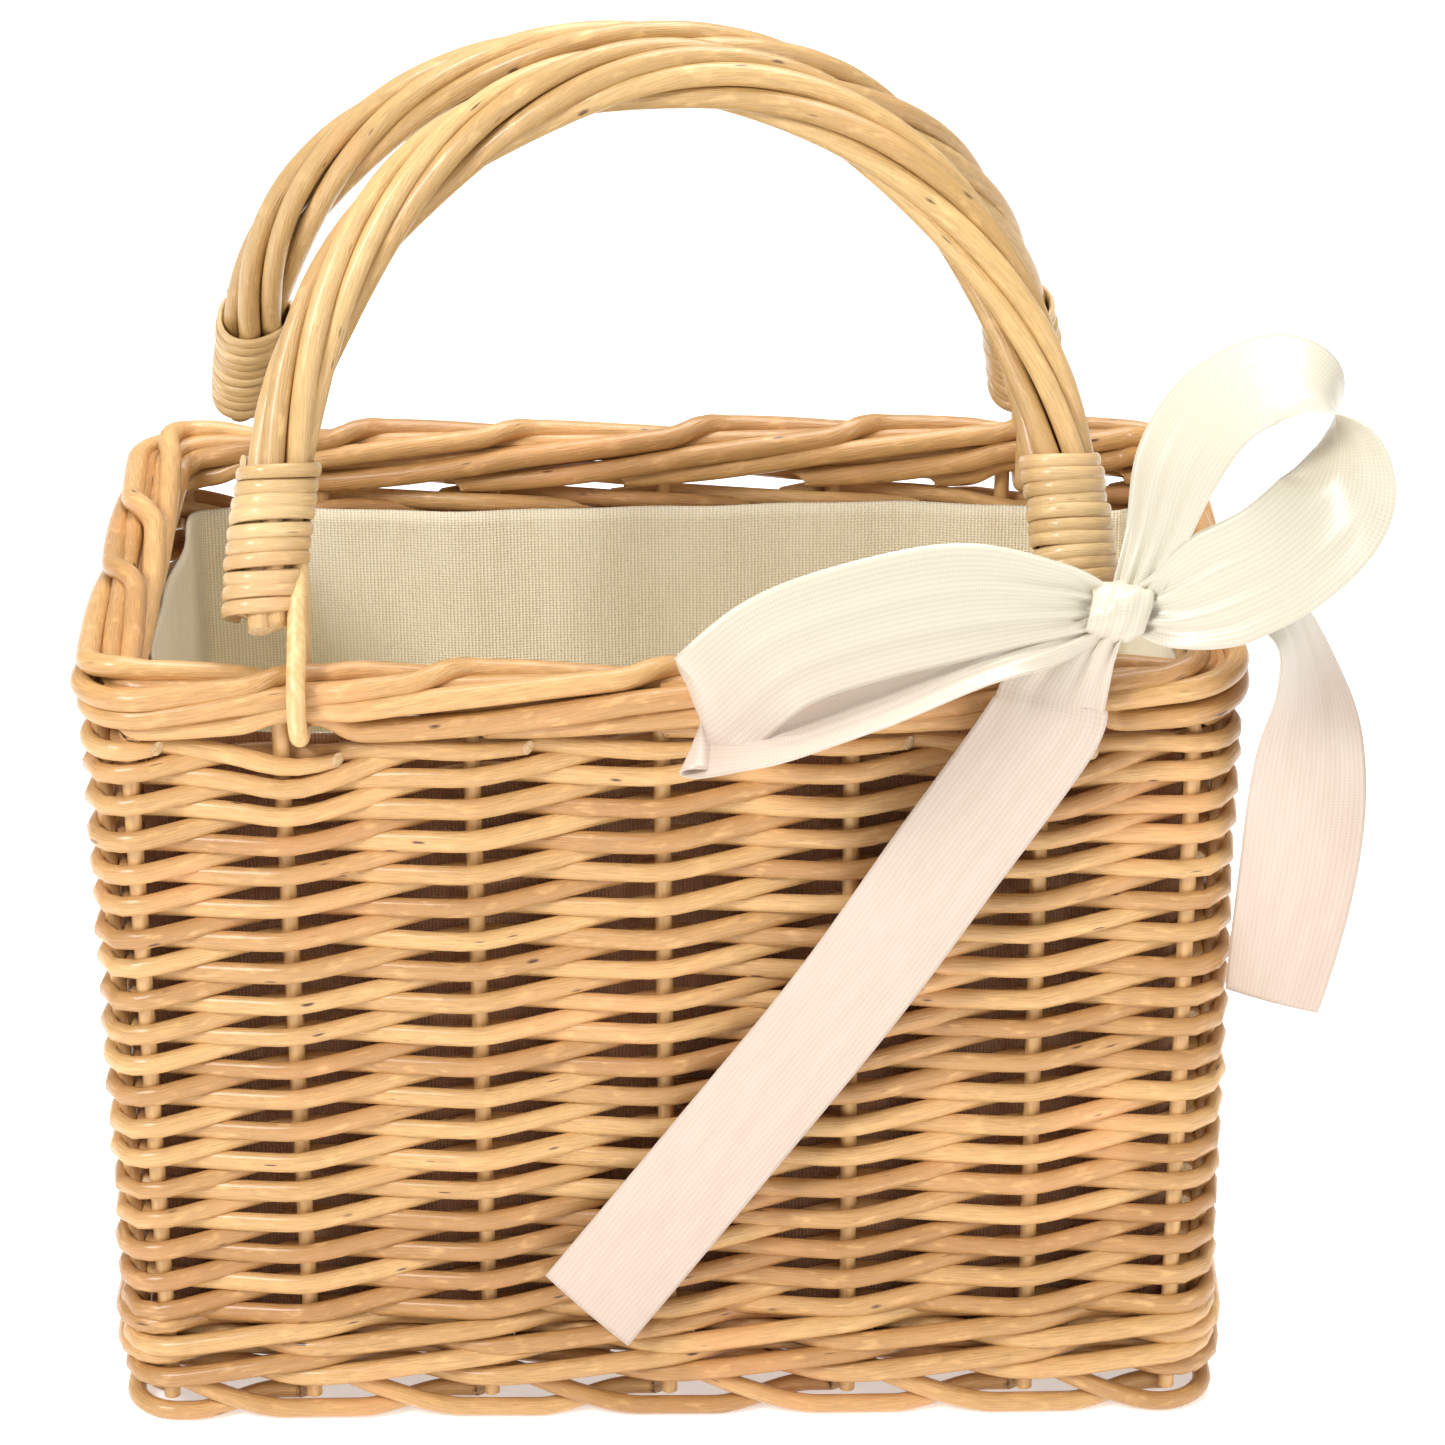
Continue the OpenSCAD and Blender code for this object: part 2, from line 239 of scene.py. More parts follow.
# %% The cut ends of rods, and willow for the CAD's own sticks
end_grain, end_tree, end_shader = new_material("end_grain", (0.83, 0.68, 0.43), 0.75)
end_speck = noise(end_tree, node(end_tree, "ShaderNodeTexCoord").outputs["Object"], 1400.0)
end_tree.links.new(ramp(end_tree, end_speck, [(0.3, (0.52, 0.33, 0.15)), (0.6, (0.74, 0.56, 0.33))]),
                   end_shader.inputs["Base Color"])
bump(end_tree, end_shader, end_speck, 0.5, 0.0003)


def stick_willow(name, pale, deep):
    """Willow for upright or level sticks that have no UV map: it reads Object coordinates."""
    mat, tree, shader = new_material(name, pale, 0.42, Coat_Weight=0.15, Coat_Roughness=0.25)
    place = node(tree, "ShaderNodeTexCoord").outputs["Object"]
    lines = noise(tree, place, 900.0, (1.0, 1.0, 0.05), 3.0)
    patch = noise(tree, place, 60.0)
    colour = mix(tree, ramp(tree, lines, [(0.35, (0.0,)), (0.7, (1.0,))]), pale, deep)
    colour = mix(tree, ramp(tree, patch, [(0.45, (0.0,)), (0.7, (0.5,))]), colour,
                 [c * 0.7 for c in deep])
    tree.links.new(colour, shader.inputs["Base Color"])
    bump(tree, shader, lines, 0.5, 0.0004)
    return mat


STAKE_WILLOW = stick_willow("stake_willow", (0.70, 0.43, 0.18), (0.52, 0.29, 0.11))
LOOP_WILLOW = stick_willow("loop_willow", (0.80, 0.55, 0.27), (0.62, 0.38, 0.15))

# %% Cotton, satin and the floor
def woven_cloth(name, colour, shade, rib, cross, roughness, depth, thread_shade=0.78, high=None,
                **sockets):
    """Cloth whose threads follow its UV map, in metres: ribs run along v, rib apart. Thin pale cloth
    shows the colour of what lies behind it, and when high is given this is painted: below the basket's
    rim the given colours carry the willow's tint as painted see-through light, and high gives the tint
    above the rim."""
    mat, tree, shader = new_material(name, colour, roughness, **sockets)
    uv = node(tree, "ShaderNodeUVMap", uv_map="UVMap").outputs[0]
    waves = []
    for direction, spacing in (("X", rib), ("Y", cross)):
        wave = node(tree, "ShaderNodeTexWave", wave_type="BANDS", bands_direction=direction,
                    wave_profile="SIN")
        wave.inputs["Scale"].default_value = math.pi / 10 / spacing
        wave.inputs["Distortion"].default_value = 0.6
        wave.inputs["Detail"].default_value = 1.0
        tree.links.new(uv, wave.inputs["Vector"])
        waves.append(wave.outputs["Fac"])
    threads = mix(tree, 0.42, waves[0], waves[1])
    slubs = noise(tree, uv, 55.0, (6.0, 1.0, 1.0), 4.0)
    tint = mix(tree, ramp(tree, slubs, [(0.35, (0.0,)), (0.75, (1.0,))]), colour, shade)
    # Painted see-through light: the tint changes at the rim's height, as if the willow's colour shows
    # through the cloth below it.
    if high:
        place = node(tree, "ShaderNodeSeparateXYZ")
        tree.links.new(node(tree, "ShaderNodeTexCoord").outputs["Object"], place.inputs[0])
        tint = mix(tree, ramp(tree, place.outputs["Z"], [(0.178, (0.0,)), (0.205, (1.0,))]), tint, high)
    dark = ramp(tree, threads, [(0.15, (thread_shade,)), (0.6, (1.0,))])
    tree.links.new(mix(tree, 1.0, tint, dark, "MULTIPLY"), shader.inputs["Base Color"])
    bump(tree, shader, threads, 0.7, depth)
    return mat


COTTON = woven_cloth("cotton", (0.98, 0.89, 0.68), (0.93, 0.82, 0.60), 0.00085, 0.0007, 0.92, 0.0004,
                     Sheen_Weight=0.25)
# The liner's outer side, seen through the gaps between the rods, is painted brown: painted shade standing
# in for the warm dark inside the wall, while the cotton itself is cream on both sides.
COTTON_PAINTED_SHADE = woven_cloth("cotton_back_painted_shade", (0.72, 0.42, 0.24), (0.62, 0.34, 0.19), 0.00085, 0.0007, 0.95,
                          0.0004)
# The satin's pinker colours are painted see-through light from the willow behind the ribbon below the
# rim; the paler high tint is for the ribbon above the rim.
SATIN = woven_cloth("satin", (0.62, 0.50, 0.41), (0.58, 0.455, 0.365), 0.0011, 0.0006, 0.34, 0.00005,
                    thread_shade=0.90, high=(0.62, 0.575, 0.45), Sheen_Weight=0.15, Coat_Weight=0.15,
                    Coat_Roughness=0.3)
FLOOR, floor_tree, floor_shader = new_material("floor_white", (0.93, 0.93, 0.93), 0.85)
floor_grain = noise(floor_tree, node(floor_tree, "ShaderNodeTexCoord").outputs["Object"], 6.0)
floor_tree.links.new(ramp(floor_tree, floor_grain, [(0.3, (0.92,) * 3), (0.7, (0.95,) * 3)]),
                     floor_shader.inputs["Base Color"])
floor_shader.inputs["Emission Color"].default_value = (1, 1, 1, 1)
floor_shader.inputs["Emission Strength"].default_value = 0.45
floor_mesh.materials.append(FLOOR)
print("materials", [m.name for m in bpy.data.materials])

# %% [markdown]
# ## Rods
# A rod is a circle carried along a path. All the rods of a piece have the same number of points, so
# that a whole wall is one array of shape (rods, points, 3), and the circles round every point come
# from one sum. A normal at each point, away from the wall, says which way is up for the circle, so
# the tube never twists.

# %% Tubes from arrays
def unit(v):
    return v / np.maximum(np.linalg.norm(v, axis=-1, keepdims=True), 1e-12)


def tube_arrays(path, radius, normal, sides=10, flat=1.0, cut=0.0):
    """Points of tubes round many paths at once.

    Point = path + radius * (cos a * side + flat * sin a * up), where side is square to the path and
    the normal, and up is square to the path and side. cut slants both end faces: each end point
    slides along the rod by cut times its height over the middle line.
    """
    along = unit(np.gradient(path, axis=1))
    side = unit(np.cross(along, normal))
    up = np.cross(side, along)
    a = np.linspace(0, 2 * np.pi, sides, endpoint=False)
    wide = radius[..., None, None] * np.cos(a)[:, None] * side[:, :, None, :]
    tall = radius[..., None, None] * (flat * np.sin(a))[:, None] * up[:, :, None, :]
    points = path[:, :, None, :] + wide + tall
    lift = radius[..., None] * np.sin(a) * cut
    points[:, 0] += lift[:, 0, :, None] * along[:, 0, None, :]
    points[:, -1] -= lift[:, -1, :, None] * along[:, -1, None, :]
    return points


def rods(name, path, radius, normal, tone, materials, sides=10, flat=1.0, cut=0.0):
    """One mesh from many rods: side faces as a grid round each path, and a flat face at each end."""
    count, steps = path.shape[:2]
    radius = np.broadcast_to(radius, (count, steps))
    normal = np.broadcast_to(normal, path.shape)
    points = tube_arrays(path, radius, normal, sides, flat, cut)
    index = np.arange(count * steps * sides).reshape(count, steps, sides)
    around = np.roll(index, -1, axis=2)
    quads = np.stack([index[:, :-1], around[:, :-1], around[:, 1:], index[:, 1:]], -1).reshape(-1, 4)
    first = index[:, 0, ::-1]
    last = index[:, -1]
    mesh = bpy.data.meshes.new(name)
    mesh.from_pydata(points.reshape(-1, 3), [], quads.tolist() + first.tolist() + last.tolist())
    # u runs once round the rod and v is the length along it, with a start of its own for each rod
    length = np.concatenate([np.zeros((count, 1)), np.cumsum(np.linalg.norm(
        np.diff(path, axis=1), axis=2), axis=1)], 1) + rng.uniform(0, 9, (count, 1))
    u = np.arange(sides) / sides
    u0 = np.broadcast_to(u, (count, steps - 1, sides))
    v0 = np.broadcast_to(length[:, :-1, None], u0.shape)
    v1 = np.broadcast_to(length[:, 1:, None], u0.shape)
    step = 1.0 / sides
    uv = np.stack([np.stack([u0, v0], -1), np.stack([u0 + step, v0], -1),
                   np.stack([u0 + step, v1], -1), np.stack([u0, v1], -1)], 3).reshape(-1, 2)
    caps = np.stack([np.tile(u, 2 * count), np.repeat(np.concatenate([length[:, 0], length[:, -1]]),
                                                     sides)], -1)
    mesh.uv_layers.new(name="UVMap").data.foreach_set("uv", np.concatenate([uv, caps]).ravel())
    tones = np.repeat(np.asarray(tone, float), steps * sides)
    mesh.attributes.new("tone", "FLOAT", "POINT").data.foreach_set("value", tones)
    slots = np.zeros(len(mesh.polygons), np.int32)
    slots[len(quads):] = 1
    for mat in materials:
        mesh.materials.append(mat)
    mesh.polygons.foreach_set("material_index", slots)
    mesh.polygons.foreach_set("use_smooth", slots == 0)
    mesh.update()
    piece = bpy.data.objects.new(name, mesh)
    bpy.context.scene.collection.objects.link(piece)
    print(f"{name}: {count} rods, {2 * len(quads) + 2 * count * (sides - 2)} triangles")
    return piece


def smooth(x):
    """0 below 0, 1 above 1, and 3x^2 - 2x^3 between."""
    x = np.clip(x, 0, 1)
    return x * x * (3 - 2 * x)


def wander(t, size, speed, count):
    """A slow random drift along each rod: three sines with random phases, at most about size."""
    phase = rng.uniform(0, 2 * np.pi, (3, count, 1))
    rate = rng.uniform(0.6, 1.4, (3, count, 1)) * speed
    return size * sum(np.sin(t * rate[k] + phase[k]) for k in range(3)) / 2.0


# %% [markdown]
# ## The wall's plan
# Seen from above, the wall is a rounded rectangle. A weaver counts stakes, not millimetres, so the
# plan has a station for each stake, and each corner, where two posts stand close together, is one
# station. Between stations the place is in proportion.

# %% Plan of the wall
wall_low, wall_high = (np.array(v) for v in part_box("front_weave"))
back_high = np.array(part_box("back_weave")[1])
border_low, border_high = (np.array(v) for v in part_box("top_border"))
foot_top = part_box("foot_border")[1].z
WALL_T = wall_high[1] - wall_low[1]
WALL_HALF_W = wall_high[0] - WALL_T / 2
WALL_HALF_D = back_high[1] - WALL_T / 2
WALL_CORNER = 8 * MM
WEAVE_LOW = wall_low[2]
STAKE_X = 80 * MM / 2
STAKE_Y = 38 * MM / 2


def around_plan(s, half_w, half_d, r):
    """Places and outward normals on a rounded rectangle, s metres along it from the middle of the
    front, anticlockwise seen from above. Straight runs and quarter circles follow in turn."""
    run_x, run_y, arc = half_w - r, half_d - r, np.pi * r / 2
    quarter = run_x + arc + run_y
    s = np.asarray(s) % (4 * quarter)
    # fold the loop into one quarter, from the middle of a long side to the middle of a short one
    turn = (s // quarter).astype(int)
    rest = s % quarter
    rest = np.where(turn % 2 == 1, quarter - rest, rest)
    bend = np.clip((rest - run_x) / arc, 0, 1) * np.pi / 2
    x = np.where(rest < run_x, rest, run_x + r * np.sin(bend))
    y = -run_y - r * np.cos(bend) + np.clip(rest - run_x - arc, 0, None)
    nx, ny = np.sin(bend), -np.cos(bend)
    flip_x = np.where((turn == 2) | (turn == 3), -1.0, 1.0)
    flip_y = np.where((turn == 1) | (turn == 2), -1.0, 1.0)
    return (np.stack([x * flip_x, y * flip_y], -1), np.stack([nx * flip_x, ny * flip_y], -1),
            4 * quarter)


PLAN = (WALL_HALF_W, WALL_HALF_D, WALL_CORNER)
PLAN_LENGTH = float(around_plan(0.0, *PLAN)[2])
to_corner = WALL_HALF_W - WALL_CORNER + np.pi * WALL_CORNER / 4
to_side = PLAN_LENGTH / 4
one_side = [-STAKE_Y, STAKE_Y]
front_half = [0, STAKE_X, 2 * STAKE_X, to_corner]
stations = front_half + [to_side + y for y in one_side]
stations += [PLAN_LENGTH / 2 - s for s in front_half[::-1]]
stations += [PLAN_LENGTH / 2 + s for s in front_half[1:]]
stations += [3 * PLAN_LENGTH / 4 + y for y in one_side]
stations += [PLAN_LENGTH - s for s in front_half[:0:-1]]
stations = np.array(stations)
N_STATIONS = len(stations)
print(N_STATIONS, "stations round a wall of", round(PLAN_LENGTH, 3), "m")


def at_station(t):
    """Metres along the plan at station t, which may be any real number."""
    turns, rest = np.divmod(t, N_STATIONS)
    knots = np.append(stations, PLAN_LENGTH)
    return turns * PLAN_LENGTH + np.interp(rest, np.arange(N_STATIONS + 1), knots)


def along_wall(t, out, height, plan=PLAN):
    """Points over the plan at station t, out metres outwards and at the given heights."""
    scale = float(around_plan(0.0, *plan)[2]) / PLAN_LENGTH
    place, normal, _ = around_plan(at_station(t) * scale, *plan)
    points = np.concatenate([place + normal * out[..., None], height[..., None]], -1)
    return points, np.concatenate([normal, np.zeros(normal.shape[:-1] + (1,))], -1)


# %% [markdown]
# ## The woven walls
# The walls are French rand: one rod starts at each stake, passes in front of one stake and behind
# the next, and climbs by one row for every two stakes. Stiff rods bend only where they press on a
# stake, so a rod is nearly straight in between. It lies level up to the stake that it crosses in
# front of, and then rises on its way behind the next one. The top rows dip under the handles'
# loops, which push them down.

# %% Weave
ROD_R = 2.3 * MM
ROD_FLAT = 0.76
ROWS = 18
WEAVE_ROOM = border_low[2] - 3.2 * MM - WEAVE_LOW - 2 * ROD_R
PITCH = WEAVE_ROOM / (ROWS - 0.26)
WEAVE_OUT = 3.35 * MM
LOOPS = [np.array(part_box(name + "_hinge_loop")).mean(axis=0) for name in (
    "front_left", "front_right", "back_left", "back_right")]


def weave_path(t, start):
    """A rod's place at station t. It is outside where t - start is even and inside where it is odd.
    zigzag = asin(0.97 cos(pi turn)) / asin(0.97), a triangle wave with rounded corners.
    out = swing * zigzag; height = half a row per station, plus 0.12 rows * (1 - zigzag), and it
    stops at the last row's height, where the rods are beaten down level."""
    turn = t - start
    zigzag = np.arcsin(0.97 * np.cos(np.pi * turn)) / np.arcsin(0.97)
    rows_up = np.minimum(turn / 2 + 0.12 * (1 - zigzag), ROWS - 0.26)
    return WEAVE_OUT * zigzag, WEAVE_LOW + ROD_R + PITCH * rows_up


def dip_under_loops(points):
    """How far a rod is pushed down: a bell over x round each hinge loop, for the top rows only."""
    near_top = smooth((points[..., 2] - WEAVE_LOW - 0.80 * WEAVE_ROOM) / (0.2 * WEAVE_ROOM))
    dip = np.zeros(points.shape[:-1])
    for loop in LOOPS:
        on_wall = points[..., 1] * loop[1] > 0
        dip = np.maximum(dip, on_wall * np.exp(-((points[..., 0] - loop[0]) / (13 * MM)) ** 2))
    return 3.2 * MM * dip * near_top


pieces = []
for start in range(N_STATIONS):
    ends = [start - 1.0]
    last = start + 2 * ROWS + 0.34
    while ends[-1] < last - 11:
        ends.append(ends[-1] + rng.choice([6, 8, 10]))
    ends.append(last)
    pieces += [(start, a, b) for a, b in zip(ends[:-1], ends[1:])]
pieces = np.array(pieces)
POINTS = 90
t = pieces[:, 1:2] + (pieces[:, 2:3] - pieces[:, 1:2] - 0.04) * np.linspace(0, 1, POINTS)
out, height = weave_path(t, pieces[:, 0:1])
count = len(pieces)
out += wander(t, 0.2 * MM, 1.7, count)
height += wander(t, 0.4 * MM, 1.3, count)
path, normal = along_wall(t, out, height)
path[..., 2] -= dip_under_loops(path)
thickness = ROD_R * rng.uniform(0.92, 1.06, (count, 1)) * np.linspace(1.05, 0.95, POINTS)
thickness[:, -5:] *= np.linspace(1.0, 0.7, 5)
weave = rods("woven_walls", path, thickness, normal, rng.uniform(0, 1, count) ** 1.4,
             [WALL_WILLOW, end_grain], sides=10, flat=ROD_FLAT, cut=0.9)
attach(weave, "basket")
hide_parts("front_weave", "back_weave", "left_weave", "right_weave")

# %% [markdown]
# ## Waling
# Under the walls is a band of three-rod waling, twice round. Each of its rods passes in front of two
# stakes and behind the third, so that from outside two rods slant across every stake, and the band
# looks like a flat rope. It grips the stakes just above the base.

# %% Waling band
WALE_ROUNDS = 2
WALE_R = 2.35 * MM
wale_low, wale_high = (np.array(v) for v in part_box("waling_band"))
WALE_STEP = (wale_high[2] - wale_low[2]) / WALE_ROUNDS


def wale_path(t, start):
    """Outside for two stakes and inside for the third: the period is three stations.
    out follows -cos, flattened by tanh; height falls and rises by a sine of the same period."""
    turn = 2 * np.pi * (t - start) / 3
    out = 3.9 * MM * np.tanh(-2.2 * np.cos(turn)) / np.tanh(2.2)
    return out, WALE_STEP / 2 - 2.8 * MM * np.sin(turn)


wale = np.array([(k, r, part) for r in range(WALE_ROUNDS) for k in range(3) for part in range(3)])
t = wale[:, :1] + 6 * wale[:, 2:] + np.linspace(0, 5.97, 84)
out, height = wale_path(t, wale[:, :1])
height += wale_low[2] + WALE_STEP * wale[:, 1:2] + wander(t, 0.3 * MM, 1.1, len(wale))
path, normal = along_wall(t, out, height)
waling = rods("waling", path, WALE_R * rng.uniform(0.95, 1.06, (len(wale), 1)), normal,
              rng.uniform(0, 0.9, len(wale)), [WALL_WILLOW, end_grain], sides=10)
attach(waling, "basket")
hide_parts("waling_band")

# %% [markdown]
# ## The foot border
# The stakes' lower ends are bent along the ground, each one running down to the right, flat along
# the table, and in behind the next. That leaves a row of lens-shaped openings, and it lifts the base
# off the table.

# %% Foot border
FOOT_R = 2.15 * MM
FOOT_RODS = N_STATIONS
t0 = np.arange(FOOT_RODS)[:, None]
run = np.linspace(0, 1.95, 56)
t = t0 + run
down = smooth(run / 0.85)
tuck = smooth((run - 1.25) / 0.55)
height = foot_top + 1.5 * MM - (foot_top + 1.5 * MM - FOOT_R - 0.1 * MM) * down + 2.2 * MM * tuck
height = height + np.abs(wander(t, 0.25 * MM, 2.0, FOOT_RODS))
out = 2.6 * MM * smooth(run / 0.4) - 5.2 * MM * tuck + wander(t, 0.3 * MM, 1.5, FOOT_RODS)
path, normal = along_wall(t, out, height)
foot = rods("foot", path, FOOT_R * rng.uniform(0.94, 1.05, (FOOT_RODS, 1)), normal,
            rng.uniform(0, 1, FOOT_RODS), [BORDER_WILLOW, end_grain], sides=12, cut=1.2)
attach(foot, "basket")
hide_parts("foot_border")

# %% [markdown]
# ## The top border
# At the rim each stake bends over and runs along with its neighbours, so that four or five rods
# lie side by side at any place. Every rod climbs the outside of the bundle slowly, folds over the
# top in a short elbow and goes down inside. Its cut end is left just under the border's outer edge.

# %% Top border
BORDER_Z = (border_low[2] + border_high[2]) / 2
BORDER_R = (border_high[2] - border_low[2]) / 2
BORDER_ROD = 2.6 * MM
PINCHED, FULL = BORDER_R - BORDER_ROD + 0.25 * MM, BORDER_R - BORDER_ROD + 1.35 * MM
BORDER_PLAN = (border_high[0] - FULL - BORDER_ROD, border_high[1] - BORDER_R, 10 * MM)
SPAN = 5.3
FOLD = 2.9
DEEPER = 1.45


def border_rods(starts, run, turn_deg, share=1.0):
    """Rods that wind slowly round the bundle: the angle (0 outside, 90 on top) grows along each rod,
    and out and height are its cosine and sine. turn_deg gives the angle at the start, just before
    the elbow, just after it and at the end. The bundle is pinched where a handle's loop holds it,
    by a bell over x, and full elsewhere, where it also hangs deeper to rest on the weave. share is how
    far out in the bundle the rods lie."""
    places = [0, FOLD - 0.13, FOLD + 0.13, run[-1]]
    swing = np.radians(np.interp(run, places, turn_deg))
    soft = np.ones(5) / 5
    swing = np.convolve(np.pad(swing, 2, "edge"), soft, "valid")
    swing = swing + np.radians(rng.uniform(-7, 7, (len(starts), 1)))
    t = starts[:, None] + run
    line, _ = along_wall(t, 0 * t, 0 * t, BORDER_PLAN)
    held = np.max([np.exp(-((line[..., 0] - x) / (9 * MM)) ** 4) * (line[..., 1] * y > 0)
                   for x, y, z in LOOPS], axis=0)
    reach = FULL * rng.uniform(0.95, 1.0, (len(starts), 1)) + wander(t, 0.2 * MM, 1.2, len(starts))
    reach = share * (reach + (PINCHED - reach) * held)
    deep = np.where(np.sin(swing) < 0, 1 + (DEEPER - 1) * (1 - held), 1.0)
    height = BORDER_Z + reach * np.sin(swing) * deep
    path, normal = along_wall(t, reach * np.cos(swing), height, BORDER_PLAN)
    face = normal * np.cos(swing)[..., None]
    face[..., 2] = np.sin(swing)
    return path, face


starts = np.arange(N_STATIONS) + rng.uniform(-0.12, 0.12, N_STATIONS)
path, normal = border_rods(starts, np.linspace(0, SPAN, 170), [-80, 52, 128, 250])
taper = BORDER_ROD * rng.uniform(0.95, 1.04, (N_STATIONS, 1)) * np.linspace(1.02, 0.93, 170)
border = rods("rim_border", path, taper, normal, rng.uniform(0, 1, N_STATIONS),
              [BORDER_WILLOW, end_grain], sides=12, cut=1.7)
core_starts = np.arange(0, N_STATIONS, 3.0)
core_path, core_normal = border_rods(core_starts, np.linspace(0, 5.6, 60), [0, 100, 140, 300], 0.38)
core = rods("rim_core", core_path, np.full((len(core_starts), 60), 2.5 * MM), core_normal,
            rng.uniform(0.5, 1, len(core_starts)), [BORDER_WILLOW, end_grain], sides=8)
for piece in (border, core):
    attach(piece, "basket")
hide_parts("top_border")

# %% [markdown]
# ## The base
# Thin rods are woven across the base sticks, over one and under the next. The liner hides them from
# above, but the underside shows. The sticks themselves are the CAD's, with willow on them.

# %% Base
base_low, base_high = (np.array(v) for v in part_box("base_weave"))
sticks = np.linspace(-2, 2, 5) * (base_high[1] - base_low[1]) / 5.5
stick_gap = sticks[1] - sticks[0]
BASE_ROD = 1.75 * MM
across = np.arange(base_low[0] + 3 * MM, base_high[0] - 3 * MM, 2 * BASE_ROD + 0.2 * MM)
y = np.linspace(base_low[1] + 1 * MM, base_high[1] - 1 * MM, 60)
parity = np.where(np.arange(len(across)) % 2 == 0, 1.0, -1.0)[:, None]
middle = (base_low[2] + base_high[2]) / 2
x = across[:, None] + wander(y[None] * 60, 0.2 * MM, 1.0, len(across))
z = middle + parity * 2.4 * MM * np.cos(np.pi * (y - sticks[0]) / stick_gap)
path = np.stack([x, np.broadcast_to(y, x.shape), z], -1)
base = rods("base_mat", path, np.full(x.shape, BASE_ROD), np.array([0.0, 0.0, 1.0]),
            rng.uniform(0.2, 1, len(across)), [WALL_WILLOW, end_grain], sides=8)
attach(base, "basket")
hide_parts("base_weave")

# %% Materials for the CAD's own sticks and loops
for name in ("front_stakes", "back_stakes", "left_stakes", "right_stakes", "corner_posts", "base_sticks"):
    frame["nodes"][name].data.materials.clear()
    frame["nodes"][name].data.materials.append(STAKE_WILLOW)
for name in ("front_left", "front_right", "back_left", "back_right"):
    loop = frame["nodes"][name + "_hinge_loop"]
    loop.data.materials.clear()
    loop.data.materials.append(LOOP_WILLOW)

# %% [markdown]
# ## The handles
# Each handle is a bundle of six peeled rods, twisted into half an ellipse. It stands on the hinge
# line at the border and leans in until it meets the other handle. The rods are worked out for an
# upright handle and then leant and moved as whole arrays.

# %% Handle shape
hinges = {j["child"]: np.array(j["pos_m"]) for j in frame["record"]["behaviour"]["joints"]}
HANDLE_H = 129.6 * MM  # a little under the CAD handle, so the twisted rods stay inside its box
SPRING = 33 * MM
BUNDLE_R = 7 * MM
HANDLE_ROD = 2.42 * MM
LEAN = math.asin((abs(hinges["front_handle"][1]) - BUNDLE_R - 0.2 * MM) / HANDLE_H)
LEG_FOOT = 17.5 * MM
LEFT_LEG_LONGER = {"front_handle": 4.5 * MM, "back_handle": 0.0}
print("handles lean in by", round(math.degrees(LEAN), 1), "degrees")


def stand(points, body):
    """Lean an upright handle's points in over the basket and move them to the body's hinge line."""
    side = -1.0 if body == "front_handle" else 1.0
    lean = -side * LEAN
    out = points.copy()
    out[..., 1] = points[..., 1] * math.cos(lean) + points[..., 2] * math.sin(lean)
    out[..., 2] = points[..., 2] * math.cos(lean) - points[..., 1] * math.sin(lean)
    return out + hinges[body] * np.array([0, 1, 1])


def splay(z):
    """How far a leg stands outwards at height z: a bell that dies out above the bindings."""
    return 3.6 * MM * np.exp(-((z - 12 * MM) / (26 * MM)) ** 2)


def handle_line(share, middle, reach):
    """The bundle's middle line, share 0 to 1 from the left foot to the right: a straight leg, half
    an ellipse, and a straight leg. Returns places and the direction away from the arch's middle."""
    rise = HANDLE_H - SPRING
    leg = (SPRING - LEG_FOOT) / (2 * (SPRING - LEG_FOOT) + 2.55 * (rise + reach) / 2 * 1.22)
    a = np.pi * (1 - np.clip((share - leg) / (1 - 2 * leg), 0, 1))
    drop = np.clip(leg - share, 0, None) + np.clip(share - 1 + leg, 0, None)
    x = middle + reach * np.cos(a)
    z = SPRING + rise * np.sin(a) - drop / leg * (SPRING - LEG_FOOT)
    x = x + np.sign(np.cos(a)) * splay(z)
    outward = unit(np.stack([rise * np.cos(a), np.zeros_like(a), reach * np.sin(a)], -1))
    return np.stack([x, np.zeros_like(x), z], -1), outward


def twisted_handle(name, body, middle, reach, turns, first_angle):
    """Six rods round the line: angle = first + sixths of a turn + turns along the handle."""
    share = np.linspace(0, 1, 150)[None] * np.ones((6, 1))
    share = share * rng.uniform(0.975, 0.985, (6, 1)) + rng.uniform(0, 0.015, (6, 1))
    share = np.clip(share, 0, 1)
    line, outward = handle_line(share, middle, reach)
    line[..., 2] -= LEFT_LEG_LONGER[body] * smooth(1 - share / 0.07)
    angle = first_angle + np.arange(6)[:, None] * np.pi / 3 - 2 * np.pi * turns * share
    angle = angle + wander(share * 9, 0.16, 1.0, 6)
    gather = (BUNDLE_R - HANDLE_ROD + 0.25 * MM) * (1 + wander(share * 12, 0.05, 1.0, 6))
    front = np.array([0.0, -1.0, 0.0])
    away = outward * np.cos(angle)[..., None] + front * np.sin(angle)[..., None]
    path = line + away * gather[..., None]
    thick = HANDLE_ROD * rng.uniform(0.95, 1.07, (6, 1)) * np.ones_like(share)
    piece = rods(name, stand(path, body), thick, stand(path + away, body) - stand(path, body),
                 rng.uniform(0, 1, 6), [HANDLE_WILLOW, end_grain], sides=14, cut=0.3)
    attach(piece, body)
    return piece


REACH = {"front_handle": (2 * MM, 82 * MM), "back_handle": (-5.5 * MM, 86.5 * MM)}
front_rods = twisted_handle("front_handle_twist", "front_handle", *REACH["front_handle"], 1.75, 0.4)
back_rods = twisted_handle("back_handle_twist", "back_handle", *REACH["back_handle"], 1.75, 1.3)
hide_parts("front_handle_rods")
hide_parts("back_handle_rods")

# %% Bindings
BIND_LOW, BIND_HIGH = 22.5 * MM, 49.5 * MM


